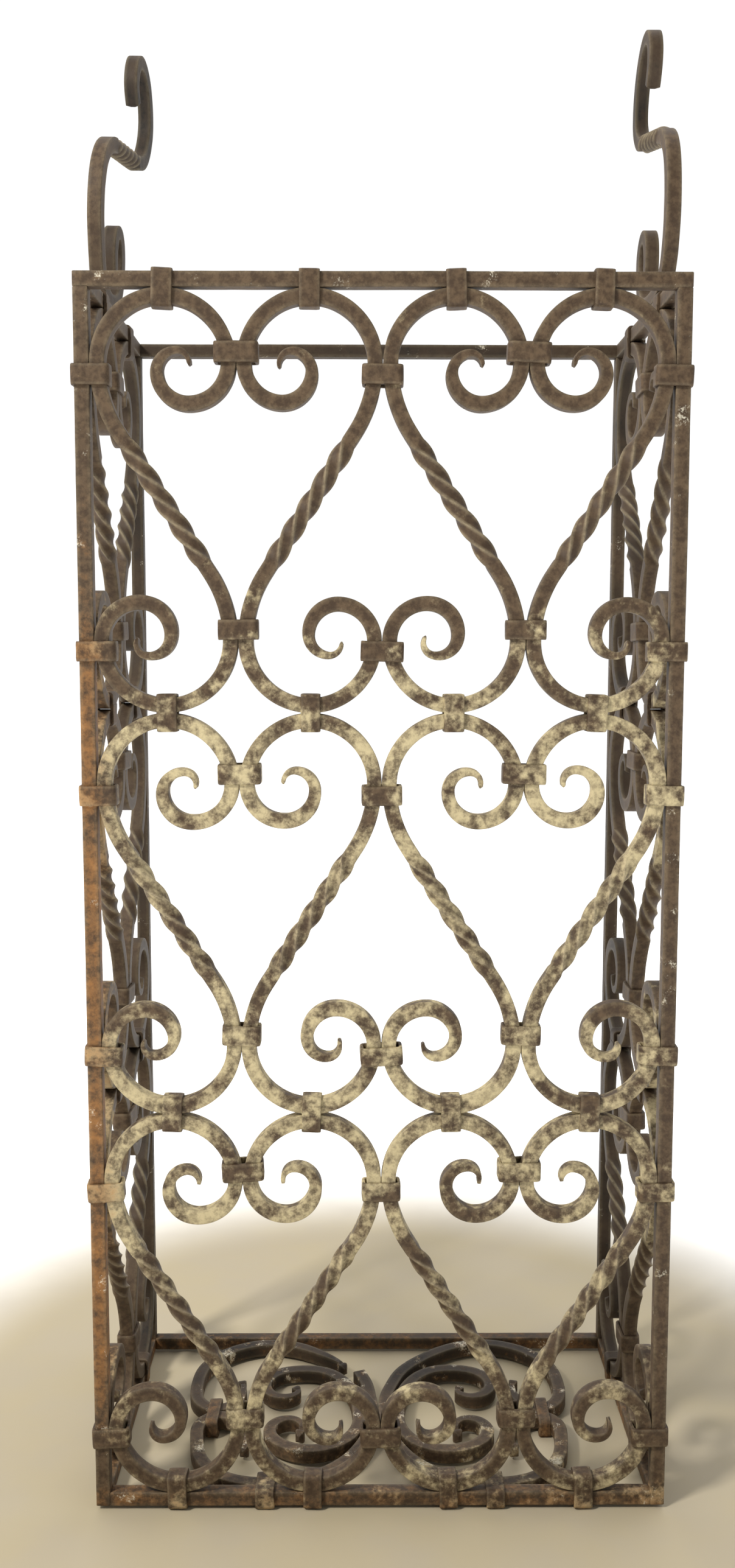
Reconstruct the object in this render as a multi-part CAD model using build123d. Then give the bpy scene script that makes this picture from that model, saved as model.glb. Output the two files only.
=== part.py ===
from build123d import *
import os
from math import asin, atan2, ceil, cos, degrees, hypot, pi, radians, sin

# A wrought iron window guard: an open-backed basket of square bar, with scroll work in its
# front, sides and floor, and one tall scroll standing on each side. Millimetres, +Z up.
# X runs along the front, Y from the front to the open back, and the bands under the bottom
# rails stand on Z = 0. The origin is under the middle of the whole guard.

# Driving dimensions
frame_width = 517.0      # outside of the posts
frame_height = 1088.0    # underside of the bottom rails to the top of the top rails
frame_depth = 289.0      # face of the front posts to the back of the rear posts
bar = 12.7               # square bar, 1/2 inch
band_thick = 3.2         # flat strip of the wrapped bands, 1/8 inch
band_wide = 17.0
tiers = 3
front_hearts = 2         # hearts side by side in the front
play = 0.15              # between a bent bar and its neighbour

# Scroll proportions, as shares of the large bend's radius
curl_bends = (0.59, 0.47, 0.32, 0.19)
curl_turns = (90, 90, 90, 105)
waist_radius = 105.0     # easy bend between the large bend and the twisted stretch
twist_turns = 1.25       # turns in the twisted stretch, left-handed
twist_share = 0.86       # of the straight stretch that is twisted
tip_width = 3.0          # hammered end of a curl
taper_run = 80.0         # length over which a curl thins to its tip
sample_run = 5.0         # spacing of the points along a bent outline

# Places worked out from them
base = band_thick
top = base + frame_height
front = -frame_depth / 2 + band_thick / 2
back = front + frame_depth
side = frame_width / 2
tier_height = (frame_height - 2 * bar) / tiers
front_cell = (frame_width - 2 * bar) / (2 * front_hearts)
side_cell = (frame_depth - 2 * bar - band_thick) / 2    # the front posts' bands need their room
front_plane = front + bar / 2          # middle of the bars of the front
side_plane = side - bar / 2
floor_plane = base + bar / 2
middle = (front + back) / 2
heart_line = back - bar - side_cell    # between the two columns of a side
post_band_up = 106.0     # band on the outer large bend, above the middle of its tier
lobe_band_up = 124.5     # band between the two lobes of a heart
floor_band_x = 105.0     # bands that tie the floor scrolls to the front rail
curl_band_x = 165.0      # bands that tie the curls of the large floor scrolls together
curl_band_wide = 12.0


def save(name, solids):
    # Writes one node: a single solid, or a group of separate solids.
    shape = solids[0] if len(solids) == 1 else Compound(children=solids)
    export_step(shape, "parts/" + name + ".step")


def block(low, high):
    # A straight bar or strip between two opposite corners.
    size = [h - l for l, h in zip(low, high)]
    centre = [(l + h) / 2 for l, h in zip(low, high)]
    return Pos(*centre) * Box(*size)


def walk(start, heading, moves):
    # Points and headings along straight runs (0, length) and left-hand bends (radius, degrees).
    x, y = start
    stops = [(x, y, heading, 0.0)]
    gone = 0.0
    for radius, amount in moves:
        length = amount if radius == 0 else radius * radians(amount)
        steps = max(2, ceil(length / sample_run))
        if radius:
            steps = max(steps, ceil(amount / 15))
        for _ in range(steps):
            turn = 0 if radius == 0 else radians(amount) / steps
            chord = length / steps if radius == 0 else 2 * radius * sin(turn / 2)
            x += chord * cos(heading + turn / 2)
            y += chord * sin(heading + turn / 2)
            heading += turn
            gone += length / steps
            stops.append((x, y, heading, gone))
    return stops


def follow(points):
    # Points and headings along a smooth curve through hand-set points.
    curve = Spline(*points)
    steps = ceil(curve.length / sample_run)
    stops = []
    for i in range(steps + 1):
        at = curve.position_at(i / steps)
        way = curve.tangent_at(i / steps)
        stops.append((at.X, at.Y, atan2(way.Y, way.X), curve.length * i / steps))
    return stops


def ribbon(stops, width_of):
    # A flat bar bent in its own plane: both sides are offset from the middle line.
    left, right = [], []
    for x, y, heading, gone in stops:
        half = width_of(gone, stops[-1][3]) / 2
        left.append((x - half * sin(heading), y + half * cos(heading)))
        right.append((x + half * sin(heading), y - half * cos(heading)))
    outline = [
        Spline(*left),
        Line(left[-1], right[-1]),
        Spline(*right),
        Line(right[0], left[0]),
    ]
    return extrude(make_face(outline), amount=bar / 2, both=True).solid()


def plain_width(gone, length):
    return bar


def curl_width(gone, length):
    # Full bar, thinning to the hammered tip at the far end.
    left = min(1.0, (length - gone) / taper_run)
    return tip_width + (bar - tip_width) * sin(left * pi / 2)


def twisted(start, end, turns, side=bar):
    # Square bar twisted left-handed between two points of the local plane.
    run = Vector(*end) - Vector(*start)
    section = Plane(origin=start, z_dir=run, x_dir=(0, 0, 1)) * Rectangle(side, side)
    return Solid.extrude_linear_with_rotation(section.face(), start, run, -360 * turns)


def s_scroll(cell_wide, cell_high):
    # One S-scroll, centred in its cell, with its heart side towards -X. Its two halves are
    # the same shape, half a turn apart.
    big = cell_wide / 2 - play - bar / 2
    lobe = cell_high / 2 - play - bar / 2 - big
    reach = waist_radius - big
    lean = asin(waist_radius / hypot(lobe, reach)) - atan2(reach, lobe)
    waist = (big - waist_radius * (1 - cos(lean)), lobe - waist_radius * sin(lean))
    heading = atan2(waist[1], waist[0])
    start = [c * twist_share for c in waist]
    straight = hypot(*waist) * (1 - twist_share)
    moves = [(0, straight), (waist_radius, degrees(lean)), (big, 180)]
    moves += [(share * big, turn) for share, turn in zip(curl_bends, curl_turns)]
    half = ribbon(walk(start, heading, moves), curl_width)
    low = [-c for c in start]
    middle_bar = twisted((*low, 0), (*start, 0), twist_turns)
    return half + middle_bar + Rot(0, 0, 180) * half


def grip(bend_radius, off):
    # How far a bent bar's inner face stands from the touching line, across a band's width,
    # where the band's middle is off along the bar from the point that touches.
    inner = bend_radius - bar / 2
    return play + bar + inner - (inner**2 - (off + band_wide / 2) ** 2) ** 0.5


def band(along, across, spot, near, far, wide=band_wide):
    # A strip wrapped round two bars that touch at spot. along is the way they are stacked,
    # with near and far the room each needs; across is the way the pair is one bar thick.
    plane = Plane(origin=spot, x_dir=along, z_dir=Vector(*along).cross(Vector(*across)))
    hole = Pos((far - near) / 2, 0, 0) * Box(near + far, bar, wide)
    skin = 2 * band_thick
    solid = Pos((far - near) / 2, 0, 0) * Box(near + far + skin, bar + skin, wide)
    return plane * (solid - hole).solid()


def big_bend(cell_wide):
    return cell_wide / 2 - play - bar / 2


def frame():
    # Four posts from the floor to the top rails, which run over them; the bottom rails and
    # the side rails are let in between.
    for name, x in (("left", -side), ("right", side - bar)):
        for where, y in (("front", front), ("rear", back - bar)):
            save(where + "_" + name + "_post", [block((x, y, base), (x + bar, y + bar, top - bar))])
        for level, z in (("bottom", base), ("top", top - bar)):
            low = (x, front + bar, z)
            save(name + "_" + level + "_rail", [block(low, (x + bar, back - bar, z + bar))])
    for where, y in (("front", front), ("rear", back - bar)):
        low = (-side, y, top - bar)
        save(where + "_top_rail", [block(low, (side, y + bar, top))])
        low = (-side + bar, y, base)
        save(where + "_bottom_rail", [block(low, (side - bar, y + bar, base + bar))])


def tier_middle(tier):
    # Tier 1 is the top one.
    return top - bar - (tier - 0.5) * tier_height


def front_scrolls():
    scroll = s_scroll(front_cell, tier_height)
    for tier in range(1, tiers + 1):
        for heart in range(front_hearts):
            axis = (2 * heart + 1 - front_hearts) * front_cell
            for sign in (-1, 1):
                spot = (axis + sign * front_cell / 2, front_plane, tier_middle(tier))
                plane = Plane(origin=spot, x_dir=(sign, 0, 0), z_dir=(0, -sign, 0))
                column = 2 * heart + (1 if sign < 0 else 2)
                save(f"front_scroll_tier{tier}_{column}", [plane * scroll])


def side_scrolls():
    scroll = s_scroll(side_cell, tier_height)
    for name, x in (("left", -side_plane), ("right", side_plane)):
        for tier in range(1, tiers + 1):
            for where, sign in (("front", -1), ("rear", 1)):
                spot = (x, heart_line + sign * side_cell / 2, tier_middle(tier))
                plane = Plane(origin=spot, x_dir=(0, sign, 0), z_dir=(sign, 0, 0))
                save(f"{name}_scroll_tier{tier}_{where}", [plane * scroll])


def crest_scroll(low_loop, cross_low, cross_high, high_loop):
    # The tall scroll that stands on a side's top rail, in its own plane: first number to the
    # rear, second number up from the rail. It curls up from inside a low loop, rises along
    # the front, crosses to the rear as a tightly twisted bar and ends in a high loop.
    slope = atan2(cross_high[1] - cross_low[1], cross_high[0] - cross_low[0])
    before = (cross_low[0] - 5 * cos(slope), cross_low[1] - 5 * sin(slope))
    after = (cross_high[0] + 5 * cos(slope), cross_high[1] + 5 * sin(slope))
    lower = ribbon(follow([*low_loop, before, cross_low]), plain_width)
    upper = ribbon(follow([cross_high, after, *high_loop]), plain_width)
    cross = twisted((*cross_low, 0), (*cross_high, 0), 1.5, bar - 0.3)  # drawn a little thinner
    return lower + cross + upper


def crests():
    # Two hand-bent scrolls of one pattern. The left one leans and turns a little inwards, has
    # a narrower low loop and stands further back.
    left = crest_scroll(
        [
            (-4, 32), (-6, 48), (-4.5, 63), (1, 72), (8, 73.5), (14.5, 69), (18, 59), (19, 46),
            (16, 28), (8, 14.5), (-8, 7.5), (-26, 9), (-39, 18.5), (-45.5, 32), (-50, 48),
            (-54.5, 71), (-54.5, 93), (-50.5, 111), (-42, 127), (-28, 139.5),
        ],
        (-8, 146.5),
        (70, 158.5),
        [
            (94, 168.5), (107, 186), (112, 207), (108, 225), (99, 240), (84, 250), (67, 249.5),
            (57.5, 239), (56, 223), (64, 208),
        ],
    )
    right = crest_scroll(
        [
            (2, 27), (0.5, 45), (2, 61), (10, 71.5), (21, 72), (30.5, 63), (33.5, 46), (29.5, 27),
            (16, 13), (-10, 7), (-45, 9), (-68, 20), (-80, 42), (-84.5, 63), (-85, 80),
            (-82.5, 100), (-77, 117), (-65, 133),
        ],
        (-42, 144),
        (36, 165),
        [
            (56, 177), (64, 193.5), (62.5, 212), (55.5, 230), (43, 245), (26, 253), (10, 250),
            (2, 237), (3.5, 221), (12, 206),
        ],
    )
    places = (("left", left, -side_plane, 2.5, -5.0), ("right", right, side_plane, 0, 0))
    for name, shape, x, lean, turn in places:
        plane = Plane(origin=(0, 0, 0), x_dir=(0, 1, 0), z_dir=(1, 0, 0))
        placed = Rot(0, 0, turn) * Rot(0, lean, 0) * (plane * shape)
        lift = top - placed.bounding_box().min.Z
        save(name + "_crest_scroll", [Pos(x, middle, lift) * placed])


def floor_scrolls():
    # Seen from above, as (out from the centre line, towards the rear). Each half has a large
    # C-scroll round a small one; the left large one is in two pieces, lapped at its rear.
    rear_curl = [
        (143, 50), (139, 28), (147, 6), (curl_band_x, -3.3), (181, 8), (188, 40), (184, 75),
        (162, 107), (112, 125.3), (84, 118), (60, 103), (40, 85),
    ]
    centre = [(24, 64), (15, 42), (8.5, 20), (6.5, -5)]
    front_curl = [
        (8, -35), (18, -68), (38, -98), (68, -118), (floor_band_x, -125.3), (148, -114),
        (171, -85), (177.5, -55), (177, -30), (curl_band_x, -16.9), (148, -18.5), (134, -34),
        (129, -54), (131, -72),
    ]
    small = [
        (88, 38), (82, 28), (92, 18.5), (108, 22), (117, 43), (105, 64), (80, 71.5), (60, 69),
        (42.5, 57), (31, 39), (23, 17), (20, -7), (21.5, -36), (35, -60), (64, -73.5),
        (92, -66), (107, -45), (99, -25), (84, -23), (76, -34), (79, -48),
    ]
    plane = Plane(origin=(0, middle, floor_plane))

    def bent(points, sign, width_of):
        stops = follow([(sign * x, y) for x, y in points])
        return plane * ribbon(stops, width_of)

    save("floor_small_scroll_left", [bent(small, -1, two_tips)])
    save("floor_small_scroll_right", [bent(small, 1, two_tips)])
    save("floor_large_scroll_right", [bent(rear_curl + centre + front_curl, 1, two_tips)])
    lapped = rear_curl[:-1] + [(44, 89), (34, 77)]
    save("floor_rear_scroll_left", [bent(lapped, -1, two_tips)])
    save("floor_front_scroll_left", [bent([(19.5, 66), (12, 44)] + centre[2:] + front_curl, -1,
                                          curl_width)])


def two_tips(gone, length):
    return min(curl_width(gone, length), curl_width(length - gone, length))


def front_bands():
    bend = big_bend(front_cell)
    lobe = tier_height / 2 - play - bar / 2 - bend
    snug = grip(bend, 0)
    on_waist = grip(waist_radius, lobe - post_band_up)
    on_lobe = grip(bend, lobe_band_up - lobe)
    along, across = (1, 0, 0), (0, 1, 0)
    post, heart, centre, tier_bands = [], [], [], []
    for tier in range(1, tiers + 1):
        z = tier_middle(tier)
        for up, room in ((post_band_up, on_waist), (-lobe_band_up, on_lobe)):
            post.append(band(along, across, (-side + bar, front_plane, z + up), bar, room))
            post.append(band(along, across, (side - bar, front_plane, z + up), room, bar))
            centre.append(band(along, across, (0, front_plane, z + up), room, room))
        for up, room in ((lobe_band_up, on_lobe), (-post_band_up, on_waist)):
            for x in (-front_cell, front_cell):
                heart.append(band(along, across, (x, front_plane, z + up), room, room))
    for x in (-1.5, -0.5, 0.5, 1.5):
        for line in range(tiers + 1):
            spot = (x * front_cell, front_plane, base + bar + line * tier_height)
            near = bar if line == 0 else snug
            far = bar if line == tiers else snug
            tier_bands.append(band((0, 0, 1), across, spot, near, far))
    save("front_post_bands", post)
    save("front_heart_bands", heart)
    save("front_centre_bands", centre)
    save("front_tier_bands", tier_bands)


def side_bands():
    bend = big_bend(side_cell)
    lobe = tier_height / 2 - play - bar / 2 - bend
    snug = grip(bend, 0)
    on_waist = grip(waist_radius, lobe - post_band_up)
    on_lobe = grip(bend, lobe_band_up - lobe)
    across = (1, 0, 0)
    for name, x in (("left", -side_plane), ("right", side_plane)):
        heart, tier_bands = [], []
        for tier in range(1, tiers + 1):
            for up, room in ((lobe_band_up, on_lobe), (-post_band_up, on_waist)):
                spot = (x, heart_line, tier_middle(tier) + up)
                heart.append(band((0, 1, 0), across, spot, room, room))
        for sign in (-1, 1):
            for line in range(tiers + 1):
                y = heart_line + sign * side_cell / 2
                spot = (x, y, base + bar + line * tier_height)
                near = bar if line == 0 else snug
                far = bar if line == tiers else snug
                tier_bands.append(band((0, 0, 1), across, spot, near, far))
        save(name + "_heart_bands", heart)
        save(name + "_tier_bands", tier_bands)


def floor_bands():
    # One band on each large scroll at the front rail, and one where its two curls meet.
    rail, curl = [], []
    for x in (-1, 1):
        spot = (x * floor_band_x, front + bar, floor_plane)
        rail.append(band((0, 1, 0), (0, 0, 1), spot, bar, bar + 1.6))
        spot = (x * curl_band_x, middle - 10, floor_plane)
        curl.append(band((0, 1, 0), (0, 0, 1), spot, bar + 9.5, bar + 4, curl_band_wide))
    save("floor_rail_bands", rail)
    save("floor_curl_bands", curl)


os.makedirs("parts", exist_ok=True)
frame()
front_scrolls()
side_scrolls()
crests()
floor_scrolls()
front_bands()
side_bands()
floor_bands()
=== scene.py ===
import random
from math import asin, atan2, ceil, cos, hypot, pi, radians, sin

import bpy
import bmesh
from mathutils import Matrix, Vector


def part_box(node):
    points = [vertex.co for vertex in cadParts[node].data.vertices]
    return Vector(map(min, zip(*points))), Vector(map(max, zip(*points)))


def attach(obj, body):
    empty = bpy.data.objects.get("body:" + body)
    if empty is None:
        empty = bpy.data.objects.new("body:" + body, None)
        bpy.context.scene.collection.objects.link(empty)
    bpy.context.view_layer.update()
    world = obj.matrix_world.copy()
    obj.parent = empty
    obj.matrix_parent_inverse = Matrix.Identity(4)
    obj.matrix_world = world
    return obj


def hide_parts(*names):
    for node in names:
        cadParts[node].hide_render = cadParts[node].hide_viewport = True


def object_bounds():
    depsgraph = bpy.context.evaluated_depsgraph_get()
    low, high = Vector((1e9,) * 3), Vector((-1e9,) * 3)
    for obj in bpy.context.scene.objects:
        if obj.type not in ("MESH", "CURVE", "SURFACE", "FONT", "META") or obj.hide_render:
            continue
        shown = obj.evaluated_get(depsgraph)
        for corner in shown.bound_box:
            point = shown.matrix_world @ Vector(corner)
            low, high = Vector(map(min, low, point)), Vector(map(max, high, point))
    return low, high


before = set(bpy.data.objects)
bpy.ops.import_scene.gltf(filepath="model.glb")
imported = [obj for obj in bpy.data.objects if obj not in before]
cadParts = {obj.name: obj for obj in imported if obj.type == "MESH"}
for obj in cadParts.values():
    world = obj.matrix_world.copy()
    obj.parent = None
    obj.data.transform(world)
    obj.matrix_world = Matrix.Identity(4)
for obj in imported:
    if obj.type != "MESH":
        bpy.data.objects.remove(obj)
cadLow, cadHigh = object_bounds()
print("frame loaded,", len(cadParts), "parts")

bar = 0.0127           # square bar, the same all over the guard
stripThick = 0.0032    # flat strip of the wrapped bands
play = 0.00015         # air between bars that touch


camera = {
    "place": (-0.01895, -1.30591, 0.78140),
    "tilt": 84.206, "roll": -0.062, "pan": -0.312,
    "lens": 31.17,
}


def addCamera():
    data = bpy.data.cameras.new("camera")
    data.lens = camera["lens"]
    data.sensor_width = 36
    data.clip_start = 0.05
    eye = bpy.data.objects.new("camera", data)
    eye.location = camera["place"]
    eye.rotation_euler = [radians(camera[k]) for k in ("tilt", "roll", "pan")]
    bpy.context.scene.collection.objects.link(eye)
    bpy.context.scene.camera = eye


lights = {
    "key": {"place": (-2.1, -1.7, 2.9), "size": 0.6, "watts": 120, "colour": (1.0, 0.97, 0.92)},
    "fill": {"place": (2.2, -1.6, 1.5), "size": 2.2, "watts": 6, "colour": (0.95, 0.97, 1.0)},
    "top": {"place": (0.3, 0.6, 3.2), "size": 1.8, "watts": 12, "colour": (1.0, 0.98, 0.95)},
}


def addLights():
    for name, light in lights.items():
        data = bpy.data.lights.new(name, "AREA")
        data.size = light["size"]
        data.energy = light["watts"]
        data.color = light["colour"]
        lamp = bpy.data.objects.new(name, data)
        lamp.location = light["place"]
        aim = Vector((0, 0, 0.65)) - lamp.location
        lamp.rotation_euler = aim.to_track_quat("-Z", "Y").to_euler()
        bpy.context.scene.collection.objects.link(lamp)


class Wire:
    # A socket in a node tree; sums on it add Math nodes.
    def __init__(self, tree, socket=None):
        self.tree, self.socket = tree, socket

    def add(self, kind, settings=None, sockets=None, out=0):
        node = self.tree.nodes.new(kind)
        for key, value in (settings or {}).items():
            if key == "stops":
                self.fillRamp(node.color_ramp, value)
            else:
                setattr(node, key, value)
        for key, value in (sockets or {}).items():
            if isinstance(value, Wire):
                self.tree.links.new(value.socket, node.inputs[key])
            else:
                node.inputs[key].default_value = value
        return Wire(self.tree, node.outputs[out] if node.outputs else None)

    def fillRamp(self, ramp, stops):
        while len(ramp.elements) < len(stops):
            ramp.elements.new(1.0)
        for element, (place, shade) in zip(ramp.elements, stops):
            element.position = place
            element.color = (*shade, 1)

    def sum(self, operation, *values, clamp=False):
        settings = {"operation": operation, "use_clamp": clamp}
        return self.add("ShaderNodeMath", settings, dict(enumerate(values)))

    def __add__(self, other):
        return self.sum("ADD", self, other)

    def __radd__(self, other):
        return self.sum("ADD", other, self)

    def __sub__(self, other):
        return self.sum("SUBTRACT", self, other)

    def __rsub__(self, other):
        return self.sum("SUBTRACT", other, self)

    def __mul__(self, other):
        return self.sum("MULTIPLY", self, other)

    def __rmul__(self, other):
        return self.sum("MULTIPLY", other, self)

    def clipped(self):
        return self.sum("ADD", self, 0.0, clamp=True)

    def rise(self, low, high):
        # 0 below low, 1 above high; falls instead if low is the larger
        sockets = {"Value": self, "From Min": low, "From Max": high}
        return self.add("ShaderNodeMapRange", {"interpolation_type": "SMOOTHSTEP"}, sockets)

    def blend(self, first, second):
        # mixes two colours by this value
        return self.add("ShaderNodeMix", {"data_type": "RGBA"}, {0: self, 6: first, 7: second}, 2)


def startMaterial(name):
    material = bpy.data.materials.new(name)
    material.use_nodes = True
    material.node_tree.nodes.clear()
    return material, Wire(material.node_tree)


def closeMaterial(tree, sockets):
    surface = tree.add("ShaderNodeBsdfPrincipled", None, sockets)
    tree.add("ShaderNodeOutputMaterial", None, {"Surface": surface})


floorLook = {
    "near": (0.45, 0.382, 0.252, 1), "far": (0.96, 0.96, 0.96, 1),
    "glow": (0.55, 0.55, 0.55, 1),
    "nearReach": 0.42, "farReach": 0.72, "halfWidth": 14.0,
}


def addFloor():
    material, tree = startMaterial("pale_floor")
    place = tree.add("ShaderNodeTexCoord", None, None, "Object")
    away = tree.add("ShaderNodeVectorMath", {"operation": "LENGTH"}, {0: place}, "Value")
    far = away.rise(floorLook["nearReach"], floorLook["farReach"])
    grain = tree.add("ShaderNodeTexNoise", None, {"Vector": place, "Scale": 9.0, "Detail": 8.0})
    shade = far.blend(floorLook["near"], floorLook["far"])
    dusty = (grain.rise(0.35, 0.65) * 0.35).blend(shade, (0.42, 0.37, 0.30, 1))
    closeMaterial(tree, {
        "Base Color": far.blend(dusty, shade), "Roughness": 0.8,
        "Emission Color": far.blend((0, 0, 0, 1), floorLook["glow"]), "Emission Strength": 1.0,
    })
    half = floorLook["halfWidth"]
    mesh = bpy.data.meshes.new("floor")
    corners = [(-half, -half, 0), (half, -half, 0), (half, half, 0), (-half, half, 0)]
    mesh.from_pydata([Vector(c) - Vector((0, 0, 0.0004)) for c in corners], [], [(0, 1, 2, 3)])
    mesh.materials.append(material)
    floor = bpy.data.objects.new("floor", mesh)
    bpy.context.scene.collection.objects.link(floor)


sky = {"behind": (1.0, 1.0, 1.0, 1), "before": (0.27, 0.28, 0.29, 1), "strength": 1.08}


def addSky():
    # white where the object is seen against it, dimmer where it only lights the front
    world = bpy.data.worlds.new("pale_sky")
    world.use_nodes = True
    world.node_tree.nodes.clear()
    tree = Wire(world.node_tree)
    way = tree.add("ShaderNodeTexCoord", None, None, "Generated")
    inward = tree.add("ShaderNodeSeparateXYZ", None, {0: way}, "Y")
    shade = inward.rise(-0.35, 0.20).blend(sky["before"], sky["behind"])
    light = tree.add("ShaderNodeBackground", None, {"Color": shade, "Strength": sky["strength"]})
    tree.add("ShaderNodeOutputWorld", None, {"Surface": light})
    bpy.context.scene.world = world
    bpy.context.scene.view_settings.view_transform = "Standard"


addCamera()
addLights()
addFloor()
addSky()
print("room ready")


ironColours = {
    "soot": (0.011, 0.009, 0.007, 1),      # deepest brown, in the deepest patches and as painted shade on the rear bars
    "brown": (0.053, 0.033, 0.019, 1),     # the usual rust-brown skin
    "umber": (0.108, 0.071, 0.040, 1),     # drier brown
    "orange": (0.330, 0.150, 0.045, 1),    # fresh rust
    "lime": (0.560, 0.470, 0.275, 1),      # cream lime bloom
    "chalk": (0.740, 0.680, 0.530, 1),     # old paint
    "worn": (0.360, 0.300, 0.190, 1),      # rubbed edges, and a painted highlight on the twisted ridges
}

ironFinishes = {
    # bloom: cream on the front panel; lime: cream everywhere; rust: orange; chalk: paint flecks;
    # dark: sootiness; worn: bright edges
    "frame_iron": {"bloom": 0.30, "lime": 0.10, "rust": 0.11, "chalk": 0.14, "dark": 0.24, "worn": 0.80},
    "scroll_iron": {"bloom": 0.62, "lime": 0.33, "rust": 0.06, "chalk": 0.03, "dark": 0.25, "worn": 0.90},
    "band_iron": {"bloom": 0.55, "lime": 0.26, "rust": 0.10, "chalk": 0.08, "dark": 0.18, "worn": 0.85},
    "crest_iron": {"bloom": 0.0, "lime": 0.10, "rust": 0.03, "chalk": 0.03, "dark": 0.40, "worn": 0.90},
    "floor_iron": {"bloom": 0.2, "lime": 0.30, "rust": 0.05, "chalk": 0.18, "dark": 0.34, "worn": 0.80},
}


ironPattern = {
    # noise scale, detail, roughness and shift
    "cloud": (13.0, 3.0, 0.6, 0.0),        # drifts about a hand wide
    "patch": (46.0, 5.0, 0.62, 3.1),       # patches about a thumb wide
    "mottle": (150.0, 6.0, 0.68, 7.7),
    "speck": (620.0, 4.0, 0.7, 1.3),
    "tierHigh": 0.354,                     # height of a tier of scrolls
    "footHigh": 0.05,                      # damp reaches this far up
    "bump": 0.55, "bumpDeep": 0.0011, "shine": 0.22,
}


def forgedIron(name, finish):
    material, tree = startMaterial(name)
    place = tree.add("ShaderNodeTexCoord", None, None, "Object")
    apart = tree.add("ShaderNodeSeparateXYZ", None, {0: place})
    across, inward, up = (Wire(tree.tree, s) for s in apart.socket.node.outputs)
    edge = tree.add("ShaderNodeAttribute", {"attribute_name": "edge"}, None, "Fac")
    # painted shade in the creases of the twisted runs, stored on the bars
    crease = tree.add("ShaderNodeAttribute", {"attribute_name": "crease"}, None, "Fac")

    def noise(kind):
        scale, detail, rough, shift = ironPattern[kind]
        spot = tree.add("ShaderNodeMapping", None, {"Vector": place, "Location": (shift, 0, 0)})
        sockets = {"Vector": spot, "Scale": scale, "Detail": detail, "Roughness": rough}
        return tree.add("ShaderNodeTexNoise", None, sockets)

    cloud, patch, mottle, speck = (noise(kind) for kind in ("cloud", "patch", "mottle", "speck"))

    # where the cream bloom lies: the front panel up to the upper hearts, most between tiers,
    # and along the foot
    front = inward.rise(-0.02, -0.11)
    bloomHigh = up.rise(0.98, 0.62)
    bloomLow = up.rise(-0.14, 0.27)
    tierBeat = up.sum("COSINE", up * (2 * pi / ironPattern["tierHigh"]))    # 1 where tiers meet
    foot = up.rise(ironPattern["footHigh"], 0.0)
    bloom = (front * 0.8 + 0.2) * (bloomHigh * bloomLow * finish["bloom"] + finish["lime"])
    bloom = bloom * (tierBeat * 0.12 + 0.88) + foot * 0.35
    limeMask = (patch * 0.6 + mottle * 0.25 + cloud * 0.35 + bloom * 0.31 - 0.12).rise(0.66, 0.84)

    # where fresh rust lies: the left front post below the top hearts, and the foot
    leftEdge = across.rise(-0.215, -0.25)
    rustHere = leftEdge * front * up.rise(0.02, 0.15) * up.rise(0.98, 0.72) * 0.25 + foot * 0.20
    rustMask = (patch * 0.45 + mottle * 0.45 + rustHere + finish["rust"]).rise(0.66, 0.98)

    # soot in the deepest patches, and painted shade darkening the rear bars
    rearShade = inward.rise(-0.09, 0.11) * 0.22
    sootAndRearShade = (cloud * 0.5 + mottle * 0.4 + rearShade + finish["dark"] * 0.5).rise(0.62, 0.98)

    chalkMask = (speck * 0.35 + patch * 0.75 + finish["chalk"]).rise(0.80, 0.90)
    colours = ironColours
    skin = mottle.rise(0.36, 0.66).blend(colours["brown"], colours["umber"])
    # soot, and painted shade towards the rear
    skin = sootAndRearShade.blend(skin, colours["soot"])
    limeCover = (limeMask * (mottle.rise(0.34, 0.62) * 0.40 + speck * 0.35 + 0.32)).clipped()
    skin = limeCover.blend(skin, colours["lime"])
    skin = (rustMask * 0.85).blend(skin, colours["orange"])
    skin = (chalkMask * 0.8).blend(skin, colours["chalk"])
    # painted shade in the creases of the twisted runs
    skin = (crease * 0.6).blend(skin, colours["brown"])
    # rubbed edges lighter, and on twisted runs a painted highlight along the ridges
    wearAndRidgeHighlight = (edge * (mottle * 1.5 - 0.2).clipped() * finish["worn"] * 0.8).clipped()
    skin = wearAndRidgeHighlight.blend(skin, colours["worn"])

    height = patch * 0.5 + mottle * 0.35 + speck * 0.3
    sockets = {"Strength": ironPattern["bump"], "Distance": ironPattern["bumpDeep"], "Height": height}
    bump = tree.add("ShaderNodeBump", None, sockets)
    closeMaterial(tree, {
        "Base Color": skin,
        "Roughness": (limeMask * 0.18 + rustMask * 0.15 + mottle * 0.30 + 0.44).clipped(),
        "Specular IOR Level": ironPattern["shine"],
        "Normal": bump,
    })
    return material


ironByName = {name: forgedIron(name, finish) for name, finish in ironFinishes.items()}
print("finishes ready")


forging = {
    "corner": 0.13,       # rounding of the bar's corners, as a share of its half width
    "stripCorner": 0.35,
    "dentDepth": 0.00032, "dentSize": 0.016,
    "wander": 0.0011, "wanderSize": 0.19,
    "seed": 11, "dentSeed": 5.0,
    "bluntest": 0.35,     # size of a rounded end's last section, as a share of the bar
}


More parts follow.
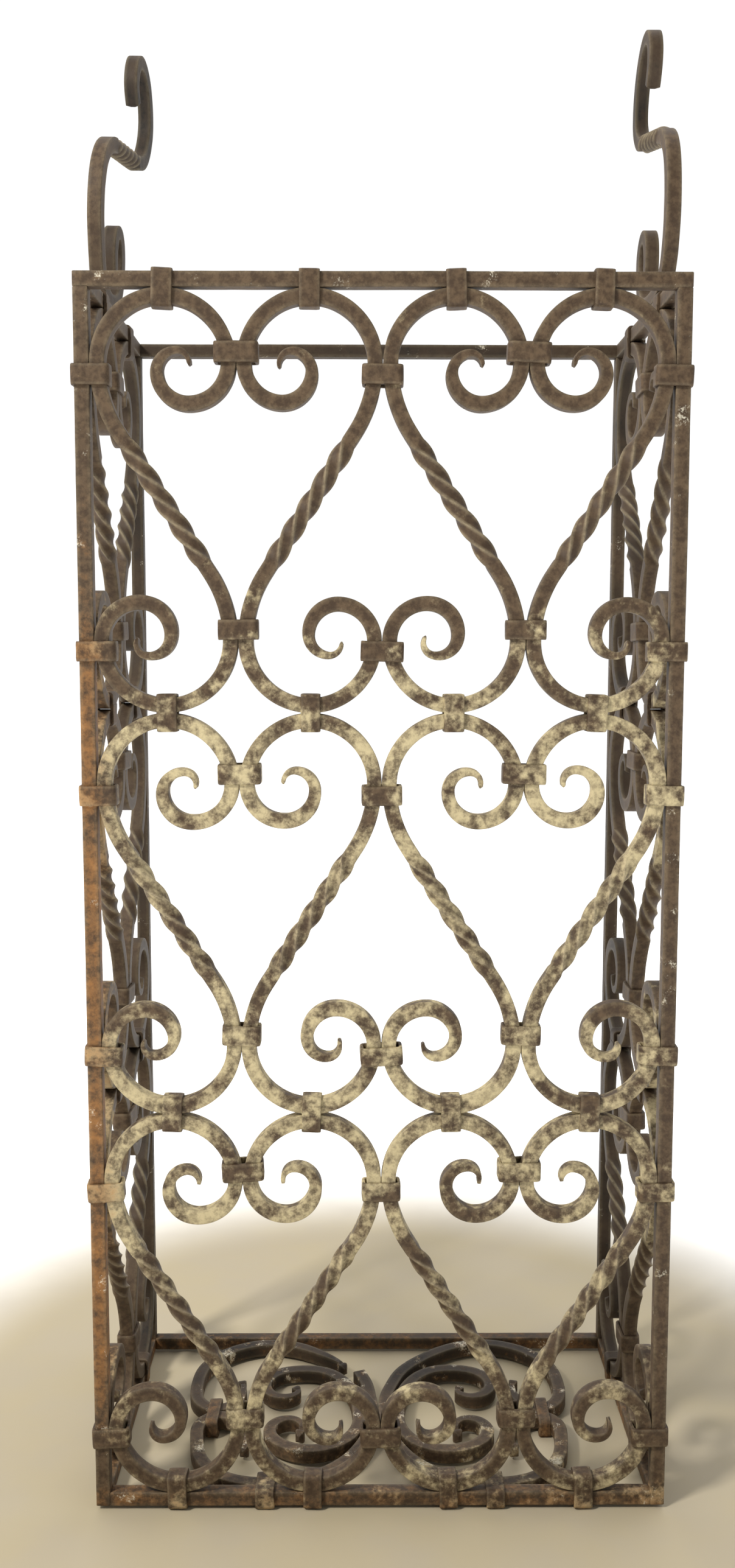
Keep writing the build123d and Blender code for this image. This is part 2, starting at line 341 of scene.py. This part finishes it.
def sectionLoop(name, corner, sideCuts, cornerCuts, halfX=1.0, halfY=1.0):
    # a closed rounded rectangle, as a mesh of edges
    points = []
    turns = [(1, -1, -90), (1, 1, 0), (-1, 1, 90), (-1, -1, 180)]
    for (sx, sy, start), (nx, ny, _) in zip(turns, turns[1:] + turns[:1]):
        middle = (sx * (halfX - corner), sy * (halfY - corner))
        for i in range(cornerCuts + 1):
            a = radians(start + 90 * i / cornerCuts)
            points.append((middle[0] + corner * cos(a), middle[1] + corner * sin(a)))
        following = (nx * (halfX - corner), ny * (halfY - corner))
        a = radians(start + 90)
        last = points[-1]
        goal = (following[0] + corner * cos(a), following[1] + corner * sin(a))
        for i in range(1, sideCuts + 1):
            t = i / (sideCuts + 1)
            points.append((last[0] + (goal[0] - last[0]) * t, last[1] + (goal[1] - last[1]) * t))
    mesh = bpy.data.meshes.new(name)
    count = len(points)
    mesh.from_pydata([(x, y, 0) for x, y in points], [(i, (i + 1) % count) for i in range(count)], [])
    loop = bpy.data.objects.new(name, mesh)
    bpy.context.scene.collection.objects.link(loop)
    loop.hide_render = True
    return loop


def addInputs(tree, wanted):
    sockets = {}
    for label, kind, value in wanted:
        socket = tree.interface.new_socket(label, in_out="INPUT", socket_type=kind)
        if value is not None:
            socket.default_value = value
        sockets[label] = socket.identifier
    tree.interface.new_socket("Geometry", in_out="OUTPUT", socket_type="NodeSocketGeometry")
    return sockets


def attribute(tree, name, kind="FLOAT_VECTOR"):
    sockets = {"Name": name}
    return tree.add("GeometryNodeInputNamedAttribute", {"data_type": kind}, sockets)


def keep(tree, geometry, name, value, kind="FLOAT_VECTOR"):
    settings = {"data_type": kind, "domain": "POINT"}
    sockets = {"Geometry": geometry, "Name": name, "Value": value}
    return tree.add("GeometryNodeStoreNamedAttribute", settings, sockets)


def vectorSum(tree, operation, first, second, slot=1):
    return tree.add("ShaderNodeVectorMath", {"operation": operation}, {0: first, slot: second})


def waver(tree, spot, size, depth, seed):
    # a smooth random vector within depth, the same for everything at one place
    far = tree.add("ShaderNodeVectorMath", {"operation": "SCALE"}, {0: spot, "Scale": 1.0 / size})
    sockets = {"Vector": far, "W": seed, "Scale": 1.0, "Detail": 1.0}
    drift = tree.add("ShaderNodeTexNoise", {"noise_dimensions": "4D"}, sockets, "Color")
    centred = vectorSum(tree, "SUBTRACT", drift, (0.5, 0.5, 0.5))
    return tree.add("ShaderNodeVectorMath", {"operation": "SCALE"}, {0: centred, "Scale": depth})


def barTree():
    tree = bpy.data.node_groups.new("forgedBar", "GeometryNodeTree")
    inputs = addInputs(tree, [
        ("Path", "NodeSocketGeometry", None),
        ("Section", "NodeSocketObject", None),
        ("Dent Depth", "NodeSocketFloat", forging["dentDepth"]),
        ("Dent Size", "NodeSocketFloat", forging["dentSize"]),
        ("Wander", "NodeSocketFloat", forging["wander"]),
        ("Seed", "NodeSocketFloat", float(forging["seed"])),
        ("Iron", "NodeSocketMaterial", None),
    ])
    made = Wire(tree)
    given = made.add("NodeGroupInput").socket.node

    def taken(label):
        return Wire(tree, given.outputs[label])

    position = made.add("GeometryNodeInputPosition")
    path = keep(made, taken("Path"), "centre", position)
    path = made.add("GeometryNodeMeshToCurve", None, {"Mesh": path})
    section = made.add("GeometryNodeObjectInfo", None, {"Object": taken("Section")}, "Geometry")
    section = keep(made, section, "cut", position)
    section = made.add("GeometryNodeMeshToCurve", None, {"Mesh": section})
    sockets = {"Curve": path, "Profile Curve": section, "Fill Caps": True}
    skin = made.add("GeometryNodeCurveToMesh", None, sockets)
    apart = made.add("ShaderNodeSeparateXYZ", None, {0: attribute(made, "cut")}).socket.node
    cutX, cutY = Wire(tree, apart.outputs[0]), Wire(tree, apart.outputs[1])
    sideways = made.add("ShaderNodeVectorMath", {"operation": "SCALE"},
                        {0: attribute(made, "sideAxis"), "Scale": cutX})
    upwards = made.add("ShaderNodeVectorMath", {"operation": "SCALE"},
                       {0: attribute(made, "upAxis"), "Scale": cutY})
    centre = attribute(made, "centre")
    drift = waver(made, centre, forging["wanderSize"], taken("Wander"), taken("Seed"))
    spot = vectorSum(made, "ADD", vectorSum(made, "ADD", centre, drift),
                     vectorSum(made, "ADD", sideways, upwards))
    skin = made.add("GeometryNodeSetPosition", None, {"Geometry": skin, "Position": spot})
    corner = made.sum("MINIMUM", made.sum("ABSOLUTE", cutX), made.sum("ABSOLUTE", cutY))
    twisted = attribute(made, "ridge", "FLOAT")
    # edges lighter for wear; on twisted runs much lighter, a painted highlight along the ridges
    skin = keep(made, skin, "edge", corner.rise(0.62, 0.93) * (twisted * 0.65 + 0.35), "FLOAT")
    # the middles of the twisted flats go darker: painted shade in the creases beside the ridges
    skin = keep(made, skin, "crease", corner.rise(0.55, 0.15) * twisted, "FLOAT")
    hammered = waver(made, made.add("GeometryNodeInputPosition"), forging["dentSize"],
                     taken("Dent Depth"), taken("Seed") + forging["dentSeed"])
    skin = made.add("GeometryNodeSetPosition", None, {"Geometry": skin, "Offset": hammered})
    skin = made.add("GeometryNodeSetShadeSmooth", None, {"Geometry": skin})
    skin = made.add("GeometryNodeRealizeInstances", None, {"Geometry": skin})
    skin = made.add("GeometryNodeSetMaterial", None, {"Geometry": skin, "Material": taken("Iron")})
    made.add("NodeGroupOutput", None, {"Geometry": skin})
    return tree, inputs


squareSection = sectionLoop("square_section", forging["corner"], 3, 2)
forgedBar, barInputs = barTree()


def plainMesh(carrier):
    # the evaluated shape as a plain mesh, with its faces outwards
    graph = bpy.context.evaluated_depsgraph_get()
    mesh = bpy.data.meshes.new_from_object(carrier.evaluated_get(graph))
    carrier.modifiers.clear()
    work = bmesh.new()
    work.from_mesh(mesh)
    if work.calc_volume(signed=True) < 0:
        bmesh.ops.reverse_faces(work, faces=work.faces)
    work.to_mesh(mesh)
    work.free()
    return mesh


def finishPiece(mesh, name, node):
    mesh.name = name
    for spare in ("centre", "cut", "sideAxis", "upAxis", "tilt", "stretch", "ridge"):
        if spare in mesh.attributes:
            mesh.attributes.remove(mesh.attributes[spare])
    for vertex in mesh.vertices:       # hammering takes nothing outside the CAD model's box
        vertex.co = [min(max(c, a), b) for c, a, b in zip(vertex.co, cadLow, cadHigh)]
    piece = bpy.data.objects.new(name, mesh)
    bpy.context.scene.collection.objects.link(piece)
    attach(piece, "root")
    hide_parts(node)
    return piece


def pathCarrier(name, stations):
    # stations: (centre, side axis, up axis), the axes as long as the bar is half wide there,
    # and 1 after them where the bar is twisted
    mesh = bpy.data.meshes.new(name)
    mesh.from_pydata([s[0] for s in stations], [(i, i + 1) for i in range(len(stations) - 1)], [])
    for index, label in ((1, "sideAxis"), (2, "upAxis")):
        layer = mesh.attributes.new(label, "FLOAT_VECTOR", "POINT")
        for i, station in enumerate(stations):
            layer.data[i].vector = station[index]
    layer = mesh.attributes.new("ridge", "FLOAT", "POINT")
    for i, station in enumerate(stations):
        layer.data[i].value = station[3] if len(station) > 3 else 0.0
    carrier = bpy.data.objects.new(name, mesh)
    bpy.context.scene.collection.objects.link(carrier)
    return carrier


def forgeBar(stations, node, slot):
    carrier = pathCarrier(node + "_path", stations)
    forge = carrier.modifiers.new("forge", "NODES")
    forge.node_group = forgedBar
    forge[barInputs["Section"]] = squareSection
    forge[barInputs["Iron"]] = ironByName[slot]
    shape = plainMesh(carrier)
    bpy.data.objects.remove(carrier)
    return finishPiece(shape, node + "_forged", node)


def rounded(gone, length, reach):
    # 1 along the bar, falling over the last bit of either end
    left = min(gone, length - gone)
    if left >= reach:
        return 1.0
    return max(forging["bluntest"], (1 - (1 - left / reach) ** 2) ** 0.5)


rails = {"step": 0.004, "endRound": 0.0012, "endShare": 0.93}


def forgeRail(node):
    low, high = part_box(node)
    size = high - low
    along = max(range(3), key=lambda i: size[i])
    ways = [Vector([1.0 if i == j else 0.0 for j in range(3)]) for i in range(3)]
    side, up = ways[(along + 1) % 3], ways[(along + 2) % 3]
    start = (low + high) / 2 - ways[along] * size[along] / 2
    count = ceil(size[along] / rails["step"])
    places = [0.0, rails["endRound"] / 2] + [size[along] * i / count for i in range(1, count)]
    places += [size[along] - rails["endRound"] / 2, size[along]]
    stations = []
    for gone in places:
        half = bar / 2 * (rails["endShare"] if gone in (0.0, size[along]) else 1.0)
        stations.append((start + ways[along] * gone, side * half, up * half))
    forgeBar(stations, node, "frame_iron")


for name in cadParts:
    if name.endswith(("_post", "_rail")):
        forgeRail(name)
print("posts and rails forged")


sScroll = {
    "bends": (0.59, 0.47, 0.32, 0.19),     # curl radii, as shares of the big bend
    "turns": (90, 90, 90, 105),
    "waist": 0.105, "twists": 1.25, "twistShare": 0.86,
    "twistFade": 0.010, "tip": 0.003, "taper": 0.080, "tipRound": 0.0016, "step": 0.0021,
    "unevenBend": 0.035, "unevenTurn": 7.0, "seed": 5,
}


def walk(start, heading, moves, step):
    # stops along straight runs (0, length) and left-hand bends (radius, degrees)
    x, y = start
    stops = [(x, y, heading, 0.0)]
    gone = 0.0
    for radius, amount in moves:
        length = amount if radius == 0 else radius * radians(amount)
        pieces = max(2, ceil(length / step))
        for _ in range(pieces):
            turn = 0 if radius == 0 else radians(amount) / pieces
            chord = length / pieces if radius == 0 else 2 * radius * sin(turn / 2)
            x += chord * cos(heading + turn / 2)
            y += chord * sin(heading + turn / 2)
            heading += turn
            gone += length / pieces
            stops.append((x, y, heading, gone))
    return stops


def scrollHalf(cellWide, cellHigh, dice):
    # from the middle of the twist out to one tip
    big = cellWide / 2 - play - bar / 2
    lobe = cellHigh / 2 - play - bar / 2 - big
    reach = sScroll["waist"] - big
    lean = asin(sScroll["waist"] / hypot(lobe, reach)) - atan2(reach, lobe)
    waist = (big - sScroll["waist"] * (1 - cos(lean)), lobe - sScroll["waist"] * sin(lean))
    heading = atan2(waist[1], waist[0])
    moves = [(0, hypot(*waist)), (sScroll["waist"], lean * 180 / pi), (big, 180)]
    for share, turn in zip(sScroll["bends"], sScroll["turns"]):
        uneven = 1 + dice.uniform(-1, 1) * sScroll["unevenBend"]
        moves.append((share * big * uneven, turn + dice.uniform(-1, 1) * sScroll["unevenTurn"]))
    stops = walk((0, 0), heading, moves, sScroll["step"])
    return stops, hypot(*waist) * sScroll["twistShare"]


def curlHalfWidth(left):
    share = min(1.0, left / sScroll["taper"])
    return (sScroll["tip"] + (bar - sScroll["tip"]) * sin(share * pi / 2)) / 2


def forgeScroll(node, origin, xWay, zWay, cellWide, cellHigh, dice):
    yWay = zWay.cross(xWay)
    stations = []
    for end in (-1, 1):
        stops, twistReach = scrollHalf(cellWide, cellHigh, dice)
        length = stops[-1][3]
        run = []
        for x, y, heading, gone in stops:
            twist = -2 * pi * sScroll["twists"] * (end * min(1.0, gone / twistReach) + 1) / 2
            flat = xWay * -sin(heading) + yWay * cos(heading)
            side = flat * cos(twist) + zWay * sin(twist)
            up = flat * -sin(twist) + zWay * cos(twist)
            thin, full = curlHalfWidth(length - gone), bar / 2
            blunt = rounded(length - gone, 1.0, sScroll["tipRound"])
            sizes = (thin, full) if end < 0 else (full, thin)
            spot = origin + end * (xWay * x + yWay * y)
            ridge = max(0.0, min(1.0, (twistReach - gone) / sScroll["twistFade"]))
            run.append((spot, side * sizes[0] * blunt, up * sizes[1] * blunt, ridge))
        stations += run[::-1] if end < 0 else run[1:]
    forgeBar(stations, node, "scroll_iron")


def forgeScrolls():
    dice = random.Random(sScroll["seed"])
    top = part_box("front_top_rail")[0].z
    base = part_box("front_bottom_rail")[0].z
    tierHigh = (top - base - bar) / 3
    upWay = Vector((0, 0, 1))
    for node in sorted(cadParts):
        if "_scroll_tier" not in node:
            continue
        low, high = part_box(node)
        middle = (low + high) / 2
        size = high - low
        if node.startswith("front"):
            # columns 1 and 3 have their heart side towards +X
            xWay = Vector((-1 if node[-1] in "13" else 1, 0, 0))
            wide = size.x + 2 * play
        else:
            xWay = Vector((0, -1 if node.endswith("front") else 1, 0))
            wide = size.y + 2 * play
        zWay = xWay.cross(upWay)
        forgeScroll(node, middle, xWay, zWay, wide, tierHigh, dice)


forgeScrolls()
print("heart scrolls forged")


crest = {
    # rearwards and up from the top rail, in millimetres
    "lead": 5, "twists": 1.5, "step": 2.0,
    "tip": 0.0095, "taper": 0.055, "tipRound": 0.0022,      # in metres
    "left": {
        "lean": 2.5, "turn": -5.0, "crossLow": (-8, 146.5), "crossHigh": (70, 158.5),
        "lowLoop": [(-4, 32), (-6, 48), (-4.5, 63), (1, 72), (8, 73.5), (14.5, 69), (18, 59),
                    (19, 46), (16, 28), (8, 14.5), (-8, 7.5), (-26, 9), (-39, 18.5), (-45.5, 32),
                    (-50, 48), (-54.5, 71), (-54.5, 93), (-50.5, 111), (-42, 127), (-28, 139.5)],
        "highLoop": [(94, 168.5), (107, 186), (112, 207), (108, 225), (99, 240), (84, 250),
                     (67, 249.5), (57.5, 239), (56, 223), (64, 208)],
    },
    "right": {
        "lean": 0.0, "turn": 0.0, "crossLow": (-42, 144), "crossHigh": (36, 165),
        "lowLoop": [(2, 27), (0.5, 45), (2, 61), (10, 71.5), (21, 72), (30.5, 63), (33.5, 46),
                    (29.5, 27), (16, 13), (-10, 7), (-45, 9), (-68, 20), (-80, 42), (-84.5, 63),
                    (-85, 80), (-82.5, 100), (-77, 117), (-65, 133)],
        "highLoop": [(56, 177), (64, 193.5), (62.5, 212), (55.5, 230), (43, 245), (26, 253),
                     (10, 250), (2, 237), (3.5, 221), (12, 206)],
    },
}


def smoothLine(points, step):
    # a natural cubic spline through the points, as stops (x, y, heading, gone)
    knots = [0.0]
    for p, q in zip(points, points[1:]):
        knots.append(knots[-1] + hypot(q[0] - p[0], q[1] - p[1]))
    spans = [b - a for a, b in zip(knots, knots[1:])]
    bends = []
    for axis in (0, 1):
        values = [p[axis] for p in points]
        count = len(values)
        upper, right = [0.0] * count, [0.0] * count
        for i in range(1, count - 1):
            slopes = (values[i + 1] - values[i]) / spans[i] - (values[i] - values[i - 1]) / spans[i - 1]
            under = spans[i - 1]
            pivot = 2 * (spans[i - 1] + spans[i]) - under * upper[i - 1]
            upper[i] = spans[i] / pivot
            right[i] = (6 * slopes - under * right[i - 1]) / pivot
        curve = [0.0] * count
        for i in range(count - 2, 0, -1):
            curve[i] = right[i] - upper[i] * curve[i + 1]
        bends.append(curve)
    raw = []
    for i, span in enumerate(spans):
        cuts = max(2, ceil(span / step))
        for j in range(cuts if i < len(spans) - 1 else cuts + 1):
            b = j / cuts
            a = 1 - b
            spot, way = [], []
            for axis in (0, 1):
                v0, v1 = points[i][axis], points[i + 1][axis]
                m0, m1 = bends[axis][i], bends[axis][i + 1]
                spot.append(a * v0 + b * v1 + ((a**3 - a) * m0 + (b**3 - b) * m1) * span**2 / 6)
                way.append((v1 - v0) / span + ((1 - 3 * a**2) * m0 + (3 * b**2 - 1) * m1) * span / 6)
            raw.append((spot[0], spot[1], atan2(way[1], way[0])))
    stops, gone = [], 0.0
    for i, (x, y, heading) in enumerate(raw):
        if i:
            gone += hypot(x - raw[i - 1][0], y - raw[i - 1][1])
        stops.append((x, y, heading, gone))
    return stops


def forgeCrest(name):
    node = name + "_crest_scroll"
    shape = crest[name]
    low, high = shape["crossLow"], shape["crossHigh"]
    slope = atan2(high[1] - low[1], high[0] - low[0])
    lead = (crest["lead"] * cos(slope), crest["lead"] * sin(slope))
    lower = shape["lowLoop"] + [(low[0] - lead[0], low[1] - lead[1]), low]
    upper = [high, (high[0] + lead[0], high[1] + lead[1])] + shape["highLoop"]
    first = smoothLine(lower, crest["step"])
    last = smoothLine(upper, crest["step"])
    run = hypot(high[0] - low[0], high[1] - low[1])
    cuts = ceil(run / crest["step"])
    stops = [(x, y, h, 0.0, g, first[-1][3] + run + last[-1][3] - g) for x, y, h, g in first]
    whole = first[-1][3] + run + last[-1][3]
    for i in range(1, cuts):
        t = i / cuts
        spot = (low[0] + (high[0] - low[0]) * t, low[1] + (high[1] - low[1]) * t)
        gone = first[-1][3] + run * t
        stops.append((*spot, slope, t, gone, whole - gone))
    for x, y, h, g in last:
        gone = first[-1][3] + run + g
        stops.append((x, y, h, 1.0, gone, whole - gone))
    turned = Matrix.Rotation(radians(shape["turn"]), 3, "Z")
    pose = turned @ Matrix.Rotation(radians(shape["lean"]), 3, "Y")
    xWay, yWay, zWay = (pose @ Vector(v) for v in ((0, 1, 0), (0, 0, 1), (1, 0, 0)))
    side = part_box(name + "_top_rail")
    foot = (side[0] + side[1]) / 2
    foot.z = side[1].z
    foot += Vector((0, (cadLow.y + cadHigh.y) / 2 - foot.y, 0))
    stations = []
    for x, y, heading, twisted, gone, left in stops:
        twist = -2 * pi * crest["twists"] * twisted
        flat = xWay * -sin(heading) + yWay * cos(heading)
        across = flat * cos(twist) + zWay * sin(twist)
        up = flat * -sin(twist) + zWay * cos(twist)
        near = min(gone, left) / 1000
        thin = (crest["tip"] + (bar - crest["tip"]) * min(1.0, near / crest["taper"])) / 2
        blunt = rounded(near, 1.0, crest["tipRound"])
        spot = foot + (xWay * x + yWay * y) / 1000
        ridge = 1.0 if 0 < twisted < 1 else 0.0
        stations.append((spot, across * thin * blunt, up * (bar / 2) * blunt, ridge))
    piece = forgeBar(stations, node, "crest_iron")
    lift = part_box(node)[0].z - min(v.co.z for v in piece.data.vertices)
    piece.data.transform(Matrix.Translation((0, 0, lift)))


forgeCrest("left")
forgeCrest("right")
print("crest scrolls forged")


floorScrolls = {
    # out from the centre line and rearwards, in millimetres
    "rearCurl": [(143, 50), (139, 28), (147, 6), (165, -3.3), (181, 8), (188, 40), (184, 75),
                 (162, 107), (112, 125.3), (84, 118), (60, 103), (40, 85)],
    "centre": [(24, 64), (15, 42), (8.5, 20), (6.5, -5)],
    "frontCurl": [(8, -35), (18, -68), (38, -98), (68, -118), (105, -125.3), (148, -114),
                  (171, -85), (177.5, -55), (177, -30), (165, -16.9), (148, -18.5), (134, -34),
                  (129, -54), (131, -72)],
    "small": [(88, 38), (82, 28), (92, 18.5), (108, 22), (117, 43), (105, 64), (80, 71.5), (60, 69),
              (42.5, 57), (31, 39), (23, 17), (20, -7), (21.5, -36), (35, -60), (64, -73.5),
              (92, -66), (107, -45), (99, -25), (84, -23), (76, -34), (79, -48)],
    "lap": [(44, 89), (34, 77)], "bluntEnd": [(19.5, 66), (12, 44)],
    "step": 2.2,
    "ball": 0.0046, "neck": 0.7, "lowTip": 0.0022, "tipHigh": 0.35, "ballHigh": 0.6,     # tips
}


def forgeFloorScroll(node, points, mirror, taperStart=True):
    level = sum(corner.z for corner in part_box(node)) / 2
    middleY = (cadLow.y + cadHigh.y) / 2
    stops = smoothLine([(mirror * x, y) for x, y in points], floorScrolls["step"])
    whole = stops[-1][3]
    upWay = Vector((0, 0, 1))
    stations = []
    for x, y, heading, gone in stops:
        left = (whole - gone) if not taperStart else min(gone, whole - gone)
        left /= 1000
        thin = curlHalfWidth(left)
        ball = floorScrolls["ball"]
        if left < 2 * ball:
            swell = max(0.0, 1 - ((left - ball) / ball) ** 2) ** 0.5
            thin = max(thin * floorScrolls["neck"], ball * swell)
            high = floorScrolls["tipHigh"] + swell * floorScrolls["ballHigh"]
            tall = max(floorScrolls["lowTip"], bar / 2 * min(1.0, high))
        else:
            tall = bar / 2
        flat = Vector((-sin(heading), cos(heading), 0))
        stations.append((Vector((x / 1000, middleY + y / 1000, level)), flat * thin, upWay * tall))
    forgeBar(stations, node, "floor_iron")


def forgeFloorScrolls():
    s = floorScrolls
    whole = s["rearCurl"] + s["centre"] + s["frontCurl"]
    forgeFloorScroll("floor_small_scroll_left", s["small"], -1)
    forgeFloorScroll("floor_small_scroll_right", s["small"], 1)
    forgeFloorScroll("floor_large_scroll_right", whole, 1)
    forgeFloorScroll("floor_rear_scroll_left", s["rearCurl"][:-1] + s["lap"], -1)
    front = s["bluntEnd"] + s["centre"][2:] + s["frontCurl"]
    forgeFloorScroll("floor_front_scroll_left", front, -1, False)


forgeFloorScrolls()
print("floor scrolls forged")


bands = {
    "long": 0.035, "wide": 0.017,      # of the one that is copied
    "corner": 0.0026, "lap": 0.009, "step": 0.0016,
    "lapThin": 0.45, "lapOver": 0.30, "lapUnder": 0.22,      # shares of the strip's thickness
    "turnDegrees": 2.6, "stretch": 0.035, "seed": 23,
    "dents": 0.0005, "dentSize": 0.011, "dentSeed": 2.0, "belly": 0.0004,
}


def bandPath(length, wide):
    # one strip bent round two bars, along X, its lapped ends at -Y
    halfX = length / 2 - stripThick / 2
    halfY = (bar + stripThick) / 2
    corner = bands["corner"]
    straight = halfX - corner
    moves = [(0, straight + bands["lap"] / 2), (corner, 90), (0, 2 * (halfY - corner)), (corner, 90),
             (0, 2 * straight), (corner, 90), (0, 2 * (halfY - corner)), (corner, 90),
             (0, straight + bands["lap"] / 2)]
    stops = walk((-bands["lap"] / 2, -halfY), 0, moves, bands["step"])
    whole = stops[-1][3]
    stations = []
    for x, y, heading, gone in stops:
        under = max(0.0, 1 - gone / bands["lap"])
        over = max(0.0, 1 - (whole - gone) / bands["lap"])
        thick = stripThick / 2 * (1 - bands["lapThin"] * under - bands["lapThin"] * over)
        outward = Vector((sin(heading), -cos(heading), 0))
        shift = outward * stripThick * (bands["lapOver"] * over - bands["lapUnder"] * under)
        belly = outward * bands["belly"] * sin(pi * gone / whole) ** 2
        spot = Vector((x, y, 0)) + shift - belly * 0.5
        stations.append((spot, -outward * thick, Vector((0, 0, wide / 2))))
    return stations


def islands(node):
    # boxes of the separate solids in a CAD part
    work = bmesh.new()
    work.from_mesh(cadParts[node].data)
    bmesh.ops.remove_doubles(work, verts=work.verts, dist=0.00001)
    seen, boxes = set(), []
    for start in work.verts:
        if start in seen:
            continue
        group, queue = [], [start]
        seen.add(start)
        while queue:
            vert = queue.pop()
            group.append(vert.co.copy())
            for edge in vert.link_edges:
                other = edge.other_vert(vert)
                if other not in seen:
                    seen.add(other)
                    queue.append(other)
        low = Vector([min(p[i] for p in group) for i in range(3)])
        high = Vector([max(p[i] for p in group) for i in range(3)])
        boxes.append((low, high))
    work.free()
    return sorted(boxes, key=lambda b: (round(b[0].z, 3), round(b[0].x, 3), round(b[0].y, 3)))


def bandTree():
    tree = bpy.data.node_groups.new("wrappedBands", "GeometryNodeTree")
    inputs = addInputs(tree, [
        ("Spots", "NodeSocketGeometry", None),
        ("Band", "NodeSocketObject", None),
        ("Turn", "NodeSocketFloat", radians(bands["turnDegrees"])),
        ("Stretch", "NodeSocketFloat", bands["stretch"]),
        ("Dent Depth", "NodeSocketFloat", bands["dents"]),
        ("Seed", "NodeSocketInt", bands["seed"]),
        ("Iron", "NodeSocketMaterial", None),
    ])
    made = Wire(tree)
    given = made.add("NodeGroupInput").socket.node

    def taken(label):
        return Wire(tree, given.outputs[label])

    def chance(low, high, offset):
        settings = {"data_type": "FLOAT_VECTOR"}
        sockets = {"Min": low, "Max": high, "Seed": taken("Seed") + float(offset)}
        return made.add("FunctionNodeRandomValue", settings, sockets)

    points = made.add("GeometryNodeMeshToPoints", None, {"Mesh": taken("Spots")})
    band = made.add("GeometryNodeObjectInfo", {"transform_space": "ORIGINAL"},
                    {"Object": taken("Band")}, "Geometry")
    wobble = made.add("ShaderNodeVectorMath", {"operation": "SCALE"},
                      {0: chance((-1, -1, -1), (1, 1, 1), 0), "Scale": taken("Turn")})
    quiver = made.add("FunctionNodeEulerToRotation", None, {"Euler": wobble})
    turn = made.add("FunctionNodeEulerToRotation", None, {"Euler": attribute(made, "tilt")})
    turn = made.add("FunctionNodeRotateRotation", {"rotation_space": "LOCAL"},
                    {"Rotation": turn, "Rotate By": quiver})
    uneven = made.add("ShaderNodeVectorMath", {"operation": "SCALE"},
                      {0: chance((-1, -1, -1), (0, 0, 1), 3), "Scale": taken("Stretch")})
    grow = vectorSum(made, "ADD", attribute(made, "stretch"), uneven)
    sockets = {"Points": points, "Instance": band, "Rotation": turn, "Scale": grow}
    copies = made.add("GeometryNodeInstanceOnPoints", None, sockets)
    skin = made.add("GeometryNodeRealizeInstances", None, {"Geometry": copies})
    dents = waver(made, made.add("GeometryNodeInputPosition"), bands["dentSize"],
                  taken("Dent Depth"), bands["dentSeed"])
    skin = made.add("GeometryNodeSetPosition", None, {"Geometry": skin, "Offset": dents})
    skin = made.add("GeometryNodeSetMaterial", None, {"Geometry": skin, "Material": taken("Iron")})
    made.add("NodeGroupOutput", None, {"Geometry": skin})
    return tree, inputs


def nominalBand(length, wide):
    # the band's own shape at the origin, used as the instance
    carrier = pathCarrier("nominal_band", bandPath(length, wide))
    forge = carrier.modifiers.new("forge", "NODES")
    forge.node_group = forgedBar
    forge[barInputs["Section"]] = stripSection
    forge[barInputs["Dent Depth"]] = 0.0
    forge[barInputs["Wander"]] = 0.0
    shape = plainMesh(carrier)
    carrier.data = shape
    carrier.hide_render = True
    return carrier


def wrapBands(node, band):
    spots, tilts, stretches = [], [], []
    for low, high in islands(node):
        size = high - low
        acrossSize = bar + 2 * stripThick
        acrossAxis = min(range(3), key=lambda i: abs(size[i] - acrossSize))
        rest = [i for i in range(3) if i != acrossAxis]
        alongAxis = max(rest, key=lambda i: size[i])
        wideAxis = min(rest, key=lambda i: size[i])
        middle = (low + high) / 2
        ways = [Vector([1.0 if i == j else 0.0 for j in range(3)]) for i in range(3)]
        # the lap turns to the inside of the guard
        outside = ways[acrossAxis] * (-1 if middle[acrossAxis] < 0 else 1)
        if acrossAxis == 2:
            outside = Vector((0, 0, -1))
        xWay = ways[alongAxis]
        zWay = xWay.cross(outside)
        turn = Matrix((xWay, outside, zWay)).transposed()
        spots.append(middle)
        tilts.append(Vector(turn.to_euler()))
        stretches.append(Vector((size[alongAxis] / bands["long"], 1.0, size[wideAxis] / bands["wide"])))
    mesh = bpy.data.meshes.new(node + "_spots")
    mesh.from_pydata(spots, [], [])
    for name, values in (("tilt", tilts), ("stretch", stretches)):
        layer = mesh.attributes.new(name, "FLOAT_VECTOR", "POINT")
        for i, value in enumerate(values):
            layer.data[i].vector = value
    carrier = bpy.data.objects.new(node + "_spots", mesh)
    bpy.context.scene.collection.objects.link(carrier)
    wrap = carrier.modifiers.new("wrap", "NODES")
    wrap.node_group = wrappedBands
    wrap[bandInputs["Band"]] = band
    wrap[bandInputs["Iron"]] = ironByName["band_iron"]
    shape = plainMesh(carrier)
    bpy.data.objects.remove(carrier)
    finishPiece(shape, node + "_forged", node)


stripSection = sectionLoop("strip_section", forging["stripCorner"], 4, 2)
wrappedBands, bandInputs = bandTree()
bandShape = nominalBand(bands["long"], bands["wide"])
for name in sorted(cadParts):
    if name.endswith("_bands"):
        wrapBands(name, bandShape)
print("bands wrapped")
